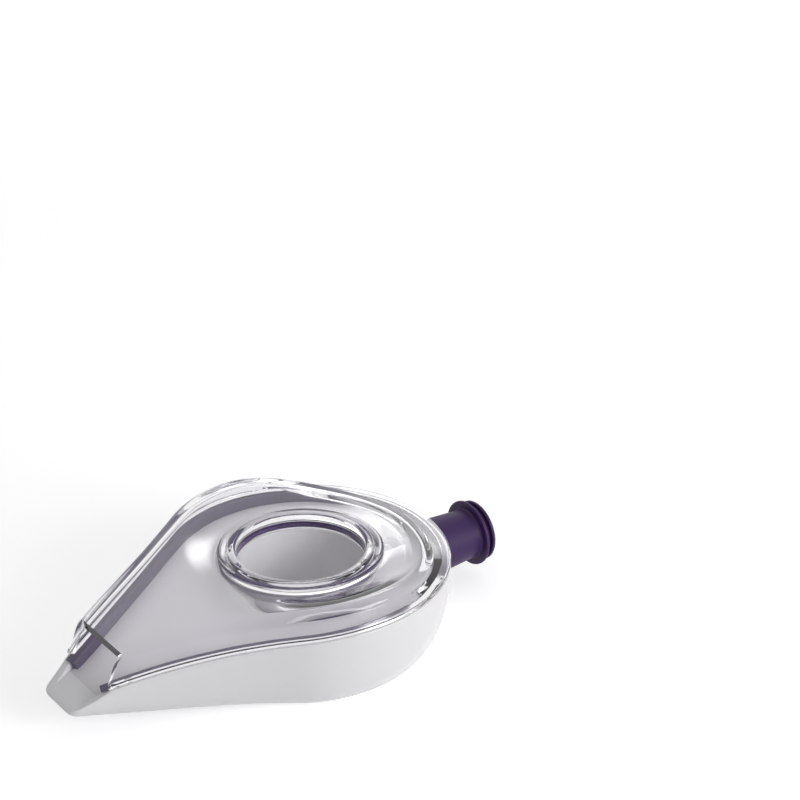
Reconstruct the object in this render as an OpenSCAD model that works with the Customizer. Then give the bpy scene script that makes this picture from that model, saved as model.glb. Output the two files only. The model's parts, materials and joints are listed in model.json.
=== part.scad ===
// Pouring filter for wine, shaped like a drop with a round hole through its round end.
// Millimetres. The origin is on the hole's axis at the resting plane. The spout points along -X,
// the stopper along +X, and +Z is up.

/* [Plan shape] */
// Radius of the round end at the rim
body_r = 44; // [41:0.5:48]
// Distance from the hole's axis to the tip of the spout
tip_x = 82; // [78:0.5:88]
// Distance from the hole's axis to the end of the curved flanks
flank_x = 75; // [72:0.5:77]
// Width of the body at the end of the curved flanks
flank_w = 21; // [19:0.5:24]
// Angle round the hole at which the round end runs into a flank
flank_start = 123; // [118:1:127]
// Angle between the flanks' ends and the length of the body
flank_slope = 22; // [19:0.5:24]
// Length of the rounding at the spout's front corners
nose_round = 3; // [2:0.5:4]

/* [Height and bend] */
// Height of the rim above the resting plane at the hole
rim_h = 25.6; // [23:0.2:30]
// How far the rim has bent down at the cover's mouth
bend_drop = 8.9; // [6:0.1:10]
// How far the underside has risen at the spout's tip
keel_rise = 7.2; // [5:0.1:8]
// Distance from the hole's axis at which the underside starts to rise
keel_start = 20; // [10:1:30]
// Depth of the tray's floor below the rim
floor_depth = 3.8; // [3:0.2:4.2]
// Depth of the trough at the spout's tip
trough_depth = 1.8; // [1.2:0.1:2.4]

/* [Base] */
// Thickness of the base's side wall
base_wall = 2.4; // [2:0.1:3]
// Thickness of the base's bottom
bottom_t = 2; // [1.6:0.1:3]
// How far the bowl draws in from the rim to the resting face
bowl_inset = 9.5; // [7:0.5:12]
// Width of the ledge that carries the tray
ledge_w = 1.6; // [1.2:0.1:2.2]

/* [Tray] */
// Thickness of the tray
tray_t = 1.4; // [1.1:0.1:1.6]
// Height of the seat round the collar above the tray's floor
seat_h = 0.3; // [0.2:0.1:0.6]
// Length of the inlet well along the body
well_l = 10; // [9:0.5:11]
// Width of the inlet well
well_w = 14; // [13.4:0.2:16]
// Distance from the stopper's axis down to the bottom of the well
well_drop = 6.6; // [6.5:0.1:7]

/* [Cover] */
// Thickness of the cover
cover_t = 2; // [1.6:0.1:2.4]
// Height of the cover's top edge above the rim, along the flanks
cover_h = 8.4; // [7:0.2:10]
// Height of the cover's top edge above the rim at the round end
rear_h = 3.6; // [3:0.2:6]
// Height of the cover's top above the rim where it meets the collar
dish_h = 4; // [3.4:0.2:6]
// Width over which the top dips down to the collar
dish_w = 15; // [12:0.5:16]
// Radius of the cover's top edge along the flanks
edge_r = 2.4; // [1.5:0.1:2.6]
// How far the side wall leans in from its foot to its top edge
side_lean = 1; // [0.4:0.1:2]
// Height of the flange round the cover's foot
flange_h = 0.9; // [0.6:0.1:1.4]
// Width of the flange round the cover's foot
flange_w = 0.6; // [0.4:0.1:1]
// Distance from the hole's axis to the top edge of the mouth
mouth_x = 65.5; // [62:0.5:68]
// How far the mouth's sides lean forward from top to foot
mouth_lean = 6; // [3:0.5:6]

/* [Collar] */
// Diameter of the hole for the bottle's neck
hole_d = 38; // [34:0.5:40]
// Thickness of the tubes round the hole
tube_wall = 1.8; // [1.5:0.1:2]
// Width of the rounded lip round the hole
lip_w = 5.4; // [4.8:0.1:6]
// Height of the lip above the cover's top
lip_h = 1.1; // [0.8:0.1:1.6]

/* [Seals] */
// Thickness of the band inside the rim
band_t = 1.6; // [1.2:0.1:2]
// Thickness of the seal between the cover and the base
seam_t = 0.8; // [0.6:0.1:1.2]
// How far the seal stands back from the outside
seam_back = 0.5; // [0.3:0.1:1]
// Thickness of the collar's seal between its ribs
collar_seal_t = 0.9; // [0.7:0.1:1.1]
// How far the ribs of the collar's seal stand out
rib_h = 0.6; // [0.3:0.1:0.8]
// Height of the collar's seal
collar_seal_h = 5; // [4.6:0.1:5.4]

/* [Stopper] */
// Distance from the rim down to the stopper's axis
stopper_drop = 12; // [11.8:0.1:12.6]
// Distance from the hole's axis to the stopper's free end
stopper_end = 66.5; // [62:0.5:72]
// Diameter of the stopper next to the base
stopper_d = 18; // [17:0.2:19]
// Diameter of the stopper next to its fins
stopper_end_d = 15.6; // [14.6:0.2:16.4]
// Diameter of the two sealing fins
fin_d = 20.6; // [19.6:0.2:22]
// Thickness of each fin at its edge
fin_t = 1.1; // [0.8:0.1:1.4]
// Distance between the two fins
fin_pitch = 4.6; // [4.2:0.1:5]
// Diameter of the channel through the stopper
channel_d = 8; // [7:0.2:8.4]
// Diameter of the neck that passes through the base
neck_d = 11.2; // [10.8:0.1:11.4]
// How far the barb stands out from the neck
barb_h = 0.7; // [0.5:0.1:0.9]
// Diameter of the vent in the stopper's side
vent_d = 1.6; // [1.2:0.1:2]

/* [Filter] */
// Diameter of the filter screen
screen_d = 9.2; // [9:0.1:9.4]
// Thickness of the screen's rim
screen_rim_t = 1.2; // [1:0.1:1.4]
// Thickness of the perforated sheet
sheet_t = 0.5; // [0.4:0.1:0.8]
// Diameter of each hole in the sheet
mesh_d = 0.9; // [0.7:0.1:1]
// Distance between the rows of holes
mesh_pitch = 1.4; // [1.25:0.05:1.5]

/* [Fit] */
// Clearance between parts that push together
fit_gap = 0.15; // [0.1:0.05:0.25]
// Clearance under parts that lie on each other
seat_gap = 0.05; // [0.03:0.01:0.1]

/* [Hidden] */
$fn = 96;

// Pieces that the outline is cut into: round end, flank and front corner
arc_steps = 20;
flank_steps = 12;
nose_steps = 4;
// Length of a flank curve's handles as a share of its chord
flank_pull = 0.33;
// Cuts reach this far past the face they open
over = 1;
// Small overlap that joins solids of one piece or keeps their faces apart
bite = 0.4;
hair = 0.1;

hole_r = hole_d / 2;
tube_r = hole_r + tube_wall;
lip_r = hole_r + lip_w;
stopper_z = rim_h - stopper_drop;
floor_top = rim_h - floor_depth;
tray_front = flank_x - 2;
cavity_front = flank_x - 15;
cover_front = mouth_x + mouth_lean + over;
seal_front = cover_front + over;
port_gap = 0.2;
port_r = neck_d / 2 + port_gap;
boss_r = stopper_d / 2 + 0.2;
boss_end = body_r - 1.2;
boss_x = body_r - 7.5;
well_wall = 1.5;
well_rear = boss_x - fit_gap - well_wall;
well_front = well_rear - well_l;
seat_r = tube_r + collar_seal_t + rib_h + 0.6;

function smooth(u) = let (v = min(max(u, 0), 1)) v * v * (3 - 2 * v);
function mix(a, b, s) = a + (b - a) * s;

// Outline of one side at the rim, from the rear round to the spout's front edge
function unit(a) = [cos(a), sin(a)];
function cubic(a, b, c, d, t) =
    pow(1 - t, 3) * a + 3 * pow(1 - t, 2) * t * b + 3 * (1 - t) * t * t * c + pow(t, 3) * d;
function corner(a, b, c, t) = pow(1 - t, 2) * a + 2 * (1 - t) * t * b + t * t * c;
flank_top = body_r * unit(flank_start);
flank_end = [-flank_x, flank_w / 2];
flank_dir = unit(flank_slope);
handle = flank_pull * norm(flank_end - flank_top);
nose_corner = flank_end - flank_dir * (tip_x - flank_x) / cos(flank_slope);
side = concat(
    [for (i = [0 : arc_steps]) body_r * unit(flank_start * i / arc_steps)],
    [for (i = [1 : flank_steps])
        cubic(flank_top, flank_top + handle * unit(flank_start + 90),
              flank_end + handle * flank_dir, flank_end, i / flank_steps)],
    [for (i = [0 : nose_steps])
        corner(nose_corner + nose_round * flank_dir, nose_corner, nose_corner - [0, nose_round],
               i / nose_steps)]
);
last = len(side) - 1;
// Inward direction at each point of the side
function heading(i) =
    let (a = i == 0 ? [side[1][0], -side[1][1]] : side[i - 1],
         b = i == last ? [side[last][0], -side[last][1]] : side[i + 1])
    (b - a) / norm(b - a);
function inward(i) = let (h = heading(i)) [-h[1], h[0]];
// Stations hold a point of the side and its inward direction
stations = [for (i = [0 : last]) [side[i], inward(i)]];
// The stations behind a plane across the body, with one more on that plane
function behind(front) =
    let (n = len([for (s = stations) if (s[0][0] > -front + hair) 1]),
         a = stations[n - 1],
         b = stations[n],
         t = (-front - a[0][0]) / (b[0][0] - a[0][0]))
    concat([for (i = [0 : n - 1]) stations[i]], [mix(a, b, t)]);
trough_run = 8;
trough_end = flank_end - flank_dir * (tip_x + trough_run - flank_x) / cos(flank_slope);
trough_stations = concat(behind(seal_front), [[trough_end, [flank_dir[1], -flank_dir[0]]]]);

// Heights above the resting plane
function rim_z(x) = rim_h - bend_drop * pow(max(-x, 0) / mouth_x, 2);
function keel_z(x) = keel_rise * pow(max(-x - keel_start, 0) / (tip_x - keel_start), 1.2);
function floor_z(x) =
    rim_z(x) - mix(floor_depth, trough_depth, smooth((-x - mouth_x) / (tip_x - mouth_x)));
// The bowl draws in less towards the slim spout
function bowl_draw(x) = bowl_inset * (1 - 0.62 * smooth((-x - 25) / 50));
// Height of the cover's top edge above the rim
function edge_h(x) = mix(cover_h, rear_h, smooth(x / body_r));
function edge_round(x) = mix(edge_r, rear_h - flange_h - 0.3, smooth(x / body_r));
function edge_in(x) = flange_w + side_lean + mix(0, 4, smooth(x / body_r));
// The cover's top dips from its edge down to the collar
function top_z(p) =
    mix(rim_h + dish_h, rim_z(p[0]) + edge_h(p[0]), smooth((norm(p) - lip_r) / dish_w));

function inset_pt(s, d) = s[0] + d * s[1];
function both(half) =
    concat(half, [for (i = [len(half) - 1 : -1 : 1]) [half[i][0], -half[i][1], half[i][2]]]);

// Solid between rings of like points, closed below and above by strips from side to side
module loft(rings) {
    n = len(rings[0]);
    h = (n - 1) / 2;
    top = (len(rings) - 1) * n;
    points = [for (r = rings) each r];
    walls = [for (k = [0 : len(rings) - 2], i = [0 : n - 1])
        let (a = k * n + i, b = k * n + (i + 1) % n) each [[a, a + n, b + n], [a, b + n, b]]];
    strips = concat([[0, 1, n - 1]],
        [for (i = [1 : h - 1]) each [[i, i + 1, n - i - 1], [i, n - i - 1, n - i]]]);
    lids = [for (t = strips) [top + t[2], top + t[1], top + t[0]]];
    polyhedron(points, concat(walls, strips, lids), convexity = 8);
}

// Turns a solid of revolution so that its axis lies along the stopper
module along_stopper(x) {
    translate([x, 0, stopper_z]) rotate([0, 90, 0]) children();
}

// One ring of the bowl: turn is 90 at the resting face and 0 at the rim
function bowl_ring(turn) = both([for (s = stations)
    let (p = inset_pt(s, bowl_draw(s[0][0]) * (1 - cos(turn))))
    [p[0], p[1], mix(keel_z(p[0]), rim_z(p[0]), 1 - sin(turn))]]);

module bowl_outside() {
    loft([for (turn = [90 : -15 : 0]) bowl_ring(turn)]);
}

function level_ring(list, d, lift) = both([for (s = list)
    let (p = inset_pt(s, d)) [p[0], p[1], floor_z(p[0]) + lift]]);

// Hollow above the tray's floor, open at the spout
module trough_cut() {
    loft([level_ring(trough_stations, base_wall, 0),
          level_ring(trough_stations, base_wall, floor_depth + over)]);
}

module tray_pocket() {
    list = behind(tray_front);
    loft([level_ring(list, base_wall + hair, -tray_t), level_ring(list, base_wall + hair, bite)]);
}

function cavity_ring(turn) = both([for (s = behind(cavity_front))
    let (d = max(ledge_w, bowl_draw(s[0][0]) * (1 - cos(turn))),
         p = inset_pt(s, base_wall + d),
         low = keel_z(p[0]) + bottom_t,
         high = floor_z(p[0]) - tray_t + bite)
    [p[0], p[1], mix(low, high, 1 - sin(turn))]]);

module base_cavity() {
    loft([for (turn = [90 : -22.5 : 0]) cavity_ring(turn)]);
}

// Round boss for the stopper, cut flat under the tray
module port_boss() {
    difference() {
        along_stopper(boss_x) cylinder(r = boss_r, h = boss_end - boss_x);
        translate([boss_x - over, -body_r, floor_top - tray_t - hair])
            cube([body_r - base_wall - boss_x + over - hair, 2 * body_r, body_r]);
    }
}

module base() {
    color([0.93, 0.93, 0.94]) difference() {
        union() {
            difference() {
                bowl_outside();
                trough_cut();
                tray_pocket();
                base_cavity();
            }
            cylinder(r = tube_r, h = rim_h - hair);
            port_boss();
        }
        translate([0, 0, -over]) cylinder(r = hole_r, h = rim_h + 2 * over);
        along_stopper(boss_x - over) cylinder(r = port_r, h = body_r);
        along_stopper(boss_end) cylinder(r = boss_r + hair, h = body_r);
    }
}

module well_block(grow, low) {
    translate([well_front - grow, -well_w / 2 - grow, low])
        cube([well_l + 2 * grow, well_w + 2 * grow, floor_top - hair - low]);
}

module tray() {
    list = behind(tray_front);
    well_z = stopper_z - well_drop;
    color([0.86, 0.85, 0.87]) difference() {
        union() {
            loft([level_ring(list, base_wall + hair + fit_gap, seat_gap - tray_t),
                  level_ring(list, base_wall + hair + fit_gap, 0)]);
            translate([0, 0, floor_top - tray_t]) cylinder(r = seat_r, h = tray_t + seat_h);
            well_block(well_wall, well_z - well_wall);
        }
        translate([0, 0, floor_top - tray_t - over])
            cylinder(r = tube_r + fit_gap, h = tray_t + seat_h + 2 * over);
        translate([well_front, -well_w / 2, well_z]) cube([well_l, well_w, rim_h]);
        along_stopper(well_rear - over) cylinder(r = port_r, h = well_wall + 2 * over);
    }
}

// Ring of the cover's wall at an inset and a height above the cover's foot
function wall_ring(d, lift) = both([for (s = behind(cover_front))
    let (p = inset_pt(s, d)) [p[0], p[1], rim_z(p[0]) + seam_t + 2 * seat_gap + lift]]);
// Ring on the rounded top edge, drawn in and down by the thickness of the cover
function edge_ring(turn, t) = both([for (s = behind(cover_front))
    let (x = s[0][0],
         r = edge_round(x),
         p = inset_pt(s, edge_in(x) + t + r * (1 - cos(turn))))
    [p[0], p[1], rim_z(p[0]) + edge_h(x) - t - r * (1 - sin(turn))]]);
// Ring on the cover's top, part of the way from the edge to the collar
function top_ring(share, t) = both([for (s = behind(cover_front))
    let (x = s[0][0],
         e = inset_pt(s, edge_in(x) + t + edge_round(x)),
         p = e / norm(e) * mix(norm(e), lip_r - 3 * bite, share))
    [p[0], p[1], top_z(p) - t]]);
top_shares = [0.16, 0.32, 0.5, 0.68, 0.84, 1];

module cover_outside() {
    loft(concat(
        [wall_ring(0, 0), wall_ring(0, flange_h), wall_ring(flange_w, flange_h + hair)],
        [for (turn = [0, 30, 60, 90]) edge_ring(turn, 0)],
        [for (share = top_shares) top_ring(share, 0)]
    ));
}

module cover_inside() {
    loft(concat(
        [wall_ring(flange_w + cover_t, -over), wall_ring(flange_w + cover_t, flange_h + hair)],
        [for (turn = [0, 45, 90]) edge_ring(turn, cover_t)],
        [for (share = top_shares) top_ring(share, cover_t)]
    ));
}

// Everything in front of the mouth, whose sides lean forward
module mouth_cut() {
    z = rim_z(-mouth_x);
    lean = mouth_lean / cover_h;
    low = z - cover_h;
    high = z + 2 * cover_h;
    rotate([90, 0, 0]) linear_extrude(height = 2 * body_r, center = true)
        polygon([[-mouth_x - lean * (z + cover_h - low), low], [-2 * tip_x, low],
                 [-2 * tip_x, high], [-mouth_x + lean * (high - z - cover_h), high]]);
}

// Clear collar: a tube with a lip of two rounded rings and a groove between them
module collar() {
    top = rim_h + dish_h + lip_h;
    foot = rim_h + dish_h - cover_t - 0.6;
    mid = mix(hole_r, lip_r, 0.56);
    rotate_extrude() polygon([
        [hole_r, rim_h], [tube_r, rim_h], [tube_r, foot], [lip_r, foot],
        [lip_r, top - 1.4], [lip_r - 0.25, top - 0.8], [lip_r - 0.8, top - 0.5],
        [mid + 0.7, top - 0.45], [mid + 0.2, top - 0.8], [mid - 0.2, top - 0.75],
        [mid - 0.5, top - 0.2], [mid - 1, top], [hole_r + 0.9, top], [hole_r + 0.3, top - 0.25],
        [hole_r, top - 0.8]]);
}

module cover() {
    color([0.86, 0.87, 0.9, 0.45]) difference() {
        union() {
            difference() {
                cover_outside();
                cover_inside();
                mouth_cut();
            }
            collar();
        }
        translate([0, 0, rim_h - over]) cylinder(r = hole_r, h = dish_h + lip_h + 2 * over);
    }
}

// Band inside the rim with a thin lip that lies between the base and the cover
module rim_seal() {
    list = behind(seal_front);
    back = base_wall + hair + fit_gap;
    // Inset, height above the rim, height above the floor as a switch
    section = [[seam_back, 0, 0], [seam_back, seam_t, 0], [back + band_t, seam_t, 0],
               [back + band_t, 0, 1], [back, 0, 1], [back, 0, 0]];
    m = len(section);
    ends = concat([for (i = [len(list) - 1 : -1 : 1]) [list[i], -1]], [for (s = list) [s, 1]]);
    points = [for (e = ends, c = section)
        let (p = inset_pt(e[0], c[0]), low = c[2] > 0 ? floor_z(p[0]) : rim_z(p[0]))
        [p[0], e[1] * p[1], low + seat_gap + c[1]]];
    n = len(ends);
    skin = [for (k = [0 : n - 2], i = [0 : m - 1])
        let (a = k * m + i, b = k * m + (i + 1) % m) each [[a, b, b + m], [a, b + m, a + m]]];
    cap = [[0, 1, 2], [0, 2, 5], [5, 2, 3], [5, 3, 4]];
    far = (n - 1) * m;
    caps = concat([for (t = cap) [t[2], t[1], t[0]]], [for (t = cap) [far + t[0], far + t[1], far + t[2]]]);
    color([0.29, 0.24, 0.33]) polyhedron(points, concat(skin, caps), convexity = 8);
}

// Ring round the joint of the two tubes, with two rounded ribs
module collar_seal() {
    in = tube_r + fit_gap;
    out = in + collar_seal_t;
    z = floor_top + seat_h + seat_gap;
    rib = collar_seal_h / 4;
    color([0.29, 0.24, 0.33]) translate([0, 0, z]) rotate_extrude() union() {
        translate([in, 0]) square([collar_seal_t, collar_seal_h]);
        for (k = [1, 3]) intersection() {
            translate([out, k * rib]) scale([rib_h / rib, 1]) circle(r = rib * 0.92, $fn = 32);
            translate([in + hair, 0]) square([collar_seal_t + rib_h, collar_seal_h]);
        }
    }
}

// Hollow plug turned about its own axis: barbed neck, tapered body and two fins
module stopper() {
    r0 = neck_d / 2;
    r1 = stopper_d / 2;
    r2 = stopper_end_d / 2;
    rf = fin_d / 2;
    barb_x = well_rear - fit_gap;
    in_x = barb_x - 2.6;
    fin2 = stopper_end - 1.4;
    fin1 = fin2 - fin_pitch;
    root = fin_t / 2 + 0.5;
    cb_r = screen_d / 2 + hair;
    color([0.26, 0.19, 0.34]) difference() {
        translate([0, 0, stopper_z]) rotate([0, 90, 0]) rotate_extrude() polygon([
            [channel_d / 2, in_x], [r0 - 0.2, in_x], [r0 + barb_h, in_x + 1.5], [r0 + barb_h, barb_x],
            [r0, barb_x], [r0, boss_end], [r1 - 0.4, boss_end], [r1, boss_end + 0.4],
            [r2, fin1 - root - 1.2], [r2 + 0.2, fin1 - root], [rf, fin1 - fin_t / 2], [rf + 0.15, fin1],
            [rf, fin1 + fin_t / 2], [r2, fin1 + root], [r2, fin2 - root],
            [rf - 0.3, fin2 - fin_t / 2], [rf - 0.1, fin2], [rf - 0.3, fin2 + fin_t / 2],
            [r2 - 0.4, fin2 + root], [r2 - 0.9, stopper_end], [channel_d / 2 + 0.5, stopper_end],
            [channel_d / 2, stopper_end - 0.5]]);
        along_stopper(in_x - over) cylinder(r = cb_r, h = screen_rim_t + over);
        translate([boss_end + 3, 0, stopper_z]) cylinder(d = vent_d, h = stopper_d);
    }
}

module filter_screen() {
    x = well_rear - fit_gap - 2.6;
    rings = 2;
    color([0.75, 0.76, 0.78]) along_stopper(x) difference() {
        cylinder(d = screen_d, h = screen_rim_t);
        translate([0, 0, sheet_t]) cylinder(d = channel_d - 0.6, h = screen_rim_t);
        translate([0, 0, -over]) cylinder(d = mesh_d, h = 2 * over + sheet_t, $fn = 24);
        for (k = [1 : rings], i = [0 : 6 * k - 1])
            rotate([0, 0, 60 * i / k]) translate([k * mesh_pitch, 0, -over])
                cylinder(d = mesh_d, h = 2 * over + sheet_t, $fn = 24);
    }
}

base();
tray();
cover();
rim_seal();
collar_seal();
stopper();
filter_screen();
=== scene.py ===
"""Looks of the wine filter: white bowl and tray, clear cover, purple silicone, steel screen."""
import json
import math

import bmesh
import bpy
import numpy as np
from mathutils import Matrix, Vector


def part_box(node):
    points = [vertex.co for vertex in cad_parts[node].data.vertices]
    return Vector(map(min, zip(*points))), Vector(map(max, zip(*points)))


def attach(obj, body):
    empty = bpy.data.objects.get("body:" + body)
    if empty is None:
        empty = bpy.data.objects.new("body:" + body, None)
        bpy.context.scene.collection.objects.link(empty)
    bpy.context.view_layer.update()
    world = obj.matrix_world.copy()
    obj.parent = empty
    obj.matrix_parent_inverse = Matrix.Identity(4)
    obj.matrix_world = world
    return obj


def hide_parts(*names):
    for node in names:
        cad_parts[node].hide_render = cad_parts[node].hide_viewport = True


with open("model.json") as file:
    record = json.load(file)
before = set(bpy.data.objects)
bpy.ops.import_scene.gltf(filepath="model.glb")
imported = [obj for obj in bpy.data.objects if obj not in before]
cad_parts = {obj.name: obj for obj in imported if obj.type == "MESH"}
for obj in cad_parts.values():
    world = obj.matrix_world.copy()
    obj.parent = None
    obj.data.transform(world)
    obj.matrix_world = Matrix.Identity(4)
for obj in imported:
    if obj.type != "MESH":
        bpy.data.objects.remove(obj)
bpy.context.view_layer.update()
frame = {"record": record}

bl_info = {
    "name": "Wine filter",
    "version": (1, 0, 0),
    "blender": (4, 5, 0),
    "location": "View3D > Sidebar > Wine filter",
    "description": "Builds the wine filter's pieces, finishes and studio",
    "category": "Object",
}

MM = 0.001
# Radius of the hole for the bottle's neck, in millimetres.
BORE = frame["record"]["mounts"][0]["dims"]["r_mm"]
# Room between the cover's tube and what stands round it, in millimetres.
TUBE_GAP = 0.15
# Power with which the underside rises to the tip.
KEEL_CURVE = 1.2
# Values that a mesh carries for its Geometry Nodes tree. The finished piece drops them.
GUIDES = ("turn", "draw", "inward", "edge", "bowl", "rim", "depth")
WHITE = (1.0, 1.0, 1.0, 1.0)


def length(name, description, millimetres):
    """A size property, stored in metres."""
    return bpy.props.FloatProperty(name=name, description=description, default=millimetres * MM,
                                   unit="LENGTH", subtype="DISTANCE", precision=5)


def colour(name, description, rgb):
    """A colour property, in linear values."""
    return bpy.props.FloatVectorProperty(name=name, description=description, default=rgb,
                                         size=3, min=0.0, max=1.0, subtype="COLOR")


def number(name, description, value):
    """A plain number property."""
    return bpy.props.FloatProperty(name=name, description=description, default=value)


class BodySizes(bpy.types.PropertyGroup):
    """Sizes that the bowl, the tray, the cover and the rim's seal share."""
    body_r: length("Round end", "Radius of the round end at the rim", 44)
    tip_x: length("Tip", "Distance from the hole to the spout's tip", 82)
    flank_x: length("Flank end", "Distance from the hole to the flanks' ends", 75)
    flank_w: length("Flank width", "Width at the flanks' ends", 21)
    flank_start: number("Flank start", "Angle where the round end runs into a flank", 123)
    flank_slope: number("Flank slope", "Angle of the flanks' ends", 22)
    nose_round: length("Nose rounding", "Rounding at the spout's corners", 3)
    rim_h: length("Rim height", "Height of the rim at the hole", 25.6)
    bend_drop: length("Bend", "How far the rim has dropped where the trough starts", 8.9)
    keel_rise: length("Keel rise", "How far the underside rises to the tip", 7.2)
    keel_start: length("Keel start", "Where the underside starts to rise", 20)
    floor_depth: length("Floor depth", "Depth of the tray's floor", 3.8)
    trough_depth: length("Trough depth", "Depth of the trough at the tip", 1.8)
    mouth_x: length("Trough start", "Distance from the hole to the start of the trough", 65.5)


class BaseSizes(bpy.types.PropertyGroup):
    """Sizes and colours of the base and the tray."""
    wall: length("Wall", "Thickness of the base's wall", 2.4)
    bottom_t: length("Bottom", "Thickness of the base's bottom", 2)
    bowl_inset: length("Bowl inset", "How far the bowl draws in", 9.5)
    ledge_w: length("Ledge", "Width of the tray's ledge", 1.6)
    cavity_x: length("Cavity", "Distance from the hole to the cavity's front", 60)
    tray_front: length("Tray front", "Distance from the hole to the tray's front edge", 73)
    tray_t: length("Tray", "Thickness of the tray", 1.35)
    gap: length("Gap", "Clearance round the tray", 0.25)
    lip_start: length("Lip start", "Where the side walls start to fall to the spout's lip", 70)
    edge: length("Edge", "Rounding of moulded edges", 0.35)
    boss_r: length("Boss", "Radius of the stopper's boss", 9.2)
    boss_end: length("Boss end", "Distance from the hole to the boss's face", 42.8)
    port_r: length("Port", "Radius of the port", 5.8)
    gloss: colour("Gloss white", "Colour of the base", (0.80, 0.79, 0.81))
    # The tray's white is darker than the base's: partly its own satin tone, partly painted shade
    # for its upward face, which the side light leaves dimmer.
    satin: colour("Satin white", "Colour of the tray", (0.73, 0.715, 0.735))


class CoverSizes(bpy.types.PropertyGroup):
    """Sizes and colour of the clear cover and its collar."""
    wall: length("Wall", "Thickness of the cover", 2)
    lift: length("Lift", "Height of the cover's foot above the rim", 0.6)
    height: length("Height", "Height of the top edge above the rim", 8.4)
    rear_h: length("Rear height", "Height of the top edge at the round end", 3.6)
    dish_h: length("Dish height", "Height of the top at the collar", 4)
    dish_w: length("Dish width", "Width over which the top dips", 16)
    edge_r: length("Edge", "Radius of the top edge", 2.4)
    mouth_r: length("Mouth edge", "Radius of the top edge at the mouth", 1.2)
    front: length("Front", "Distance from the hole to the mouth's top edge", 67.5)
    front_lean: length("Front lean", "How far the mouth's sides lean forward", 4.2)
    lean: length("Lean", "How far the wall leans in", 1)
    flange_h: length("Flange height", "Height of the foot's flange", 0.9)
    flange_w: length("Flange width", "Width of the foot's flange", 0.6)
    tube_wall: length("Tube wall", "Thickness of the collar's tube", 1.8)
    lip_w: length("Lip width", "Width of the lip round the hole", 5.4)
    lip_h: length("Lip height", "Height of the lip above the top", 1.1)
    clear: colour("Clear", "Colour of the clear plastic", (0.915, 0.912, 0.93))


class SoftSizes(bpy.types.PropertyGroup):
    """Sizes and colours of the silicone pieces."""
    band_t: length("Band", "Thickness of the rim's band", 1.6)
    seam_t: length("Seam", "Thickness of the lip under the cover", 0.5)
    seam_back: length("Seam back", "How far the lip stands back", 1.1)
    seal_front: length("Seal front", "Distance from the hole to the seal's ends", 73.5)
    collar_t: length("Collar seal", "Thickness of the collar's seal", 0.9)
    collar_h: length("Collar seal height", "Height of the collar's seal", 5)
    rib_h: length("Rib", "How far the seal's ribs stand out", 0.6)
    stopper_z: length("Stopper axis", "Height of the stopper's axis", 13.6)
    stopper_end: length("Stopper end", "Distance from the hole to the free end", 66.5)
    root_d: length("Root", "Diameter next to the base", 18)
    end_d: length("Shank", "Diameter next to the fins", 15.6)
    fin_d: length("Fin", "Diameter of the fins", 20.6)
    fin_t: length("Fin thickness", "Thickness of each fin", 1.1)
    fin_pitch: length("Fin pitch", "Distance between the fins", 2.9)
    fin_taper: number("Fin taper", "How much smaller the outer fin is, as a share", 0.08)
    channel_d: length("Channel", "Diameter of the channel", 8)
    neck_d: length("Neck", "Diameter of the neck", 11.2)
    neck_x: length("Neck end", "Distance from the hole to the neck's inner end", 32.15)
    barb_h: length("Barb", "How far the barb stands out", 0.7)
    vent_d: length("Vent", "Diameter of the vent", 1.6)
    purple: colour("Purple", "Colour of the stopper and the collar's seal", (0.041, 0.0135, 0.088))
    grey_purple: colour("Grey purple", "Colour of the rim's seal", (0.135, 0.115, 0.17))


class ScreenSizes(bpy.types.PropertyGroup):
    """Sizes and colour of the woven screen."""
    wires: bpy.props.IntProperty(name="Wires", description="Wires each way", default=15, min=2)
    pitch: length("Pitch", "Distance between wires", 0.6)
    wire: length("Wire", "Diameter of a wire", 0.2)
    frame: length("Frame", "Width of the round frame", 0.9)
    steel: colour("Steel", "Colour of the steel", (0.62, 0.62, 0.64))


class StudioSizes(bpy.types.PropertyGroup):
    """The camera's place and the lamps' strength."""
    azimuth: number("Azimuth", "Camera's turn round the part, in degrees", -33.0)
    elevation: number("Elevation", "Camera's height, in degrees", 30.6)
    roll: number("Roll", "Camera's roll, in degrees", -1.93)
    distance: length("Distance", "Camera to the rim at the hole", 644)
    focal_px: number("Focal length", "Focal length in pixels of the frame", 2189.6)
    aim_x: number("Aim x", "Pixel column of the rim's centre", 300.83)
    aim_y: number("Aim y", "Pixel row of the rim's centre", 560.76)
    floor: colour("Floor", "Colour of the floor", (0.86, 0.86, 0.87))
    key: number("Key", "Strength of the large lamp, in watts", 8.6)
    glow: number("Glow", "Strength of the lamp that shines in the cover, in watts", 0.055)
    sky: number("Sky", "Strength of the room's light", 0.38)
    lift: number("Lift", "Light that the floor adds where it is seen", 0.52)


def smooth(u):
    """Eases from 0 to 1 while u runs from 0 to 1."""
    v = np.clip(u, 0.0, 1.0)
    return v * v * (3 - 2 * v)


def mix(a, b, share):
    """A value between two others."""
    return a + (b - a) * share


def corner(turn):
    """How far a rounded corner stands in and down at a turn in degrees, as shares of its radius."""
    a = math.radians(turn)
    return 1 - math.cos(a), 1 - math.sin(a)


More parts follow.
